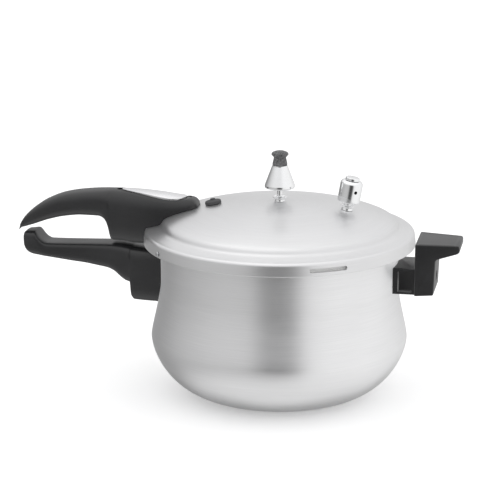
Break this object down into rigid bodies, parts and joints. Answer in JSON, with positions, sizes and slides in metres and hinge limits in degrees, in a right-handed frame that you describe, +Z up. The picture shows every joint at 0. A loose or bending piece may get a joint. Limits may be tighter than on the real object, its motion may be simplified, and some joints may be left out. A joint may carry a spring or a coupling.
{
  "type": "stovetop pressure cooker",
  "caption": "Aluminium bayonet-lid pressure cooker: bellied pot, domed lid, long twin handles, helper handle, vent weight and spring relief valve.",
  "frame": {"origin": "centre of the flat base, where the pot stands on the stove", "axes": "+Z up through the vent tube, +X towards the helper handle, long handles along -X"},
  "size_m": [0.3982, 0.24, 0.2185],
  "materials": {
    "pot_aluminium": "satin aluminium with a fine circumferential spin finish",
    "lid_aluminium": "satin aluminium with a fine circumferential spin finish, brighter than the pot",
    "rivet_aluminium": "upset rivet heads, satin",
    "chrome": "polished chrome plate on brass",
    "zinc_steel": "zinc plated steel",
    "satin_inlay": "satin stainless sheet with a fine lengthwise grain",
    "phenolic": "black moulded phenolic, semi matt with a soft sheen",
    "knob_phenolic": "dark grey speckled phenolic, matt",
    "plug_rubber": "dark grey moulded silicone rubber",
    "ring_rubber": "pale moulded silicone rubber"
  },
  "bodies": {
    "pot": {"helper_handle": "phenolic", "helper_handle_bracket": "zinc_steel", "helper_handle_rivet_1": "rivet_aluminium", "helper_handle_rivet_2": "rivet_aluminium", "helper_handle_screw": "zinc_steel", "helper_handle_washer": "zinc_steel", "pot_body": "pot_aluminium", "pot_handle": "phenolic", "pot_handle_bracket": "zinc_steel", "pot_handle_rivet_1": "rivet_aluminium", "pot_handle_rivet_2": "rivet_aluminium", "pot_handle_screw": "zinc_steel", "pot_handle_washer": "zinc_steel"},
    "ring": {"sealing_ring": "ring_rubber"},
    "lid": {"lid_handle": "phenolic", "lid_handle_bracket": "zinc_steel", "lid_handle_front_screw": "zinc_steel", "lid_handle_inlay": "satin_inlay", "lid_handle_rear_screw": "zinc_steel", "lid_handle_rear_washer": "zinc_steel", "lid_handle_seal_washer": "plug_rubber", "lid_shell": "lid_aluminium", "relief_cap": "chrome", "relief_housing": "chrome", "relief_nut": "zinc_steel", "relief_seal_washer": "plug_rubber", "relief_spring": "zinc_steel", "relief_stem": "chrome", "safety_plug": "plug_rubber", "skirt_stud": "zinc_steel", "vent_nut": "zinc_steel", "vent_seal_washer": "plug_rubber", "vent_tube": "chrome"},
    "weight": {"weight_body": "chrome", "weight_knob": "knob_phenolic", "weight_spindle": "zinc_steel"},
    "poppet": {"relief_poppet": "zinc_steel"}
  },
  "joints": [
    {"name": "lid_lift", "type": "slide", "parent": "pot", "child": "ring", "axis": [0, 0, 1], "range_m": [0, 0.12]},
    {"name": "lid_turn", "type": "hinge", "parent": "ring", "child": "lid", "pos_m": [0, 0, 0.142], "axis": [0, 0, 1], "range_deg": [0, 32]},
    {"name": "weight_lift", "type": "slide", "parent": "lid", "child": "weight", "axis": [0, 0, 1], "range_m": [0, 0.03]},
    {"name": "relief_lift", "type": "slide", "parent": "lid", "child": "poppet", "axis": [0.1687, 0, 0.9857], "range_m": [0, 0.002], "stiffness_N_per_m": 200, "deforming": ["relief_spring"]}
  ]
}
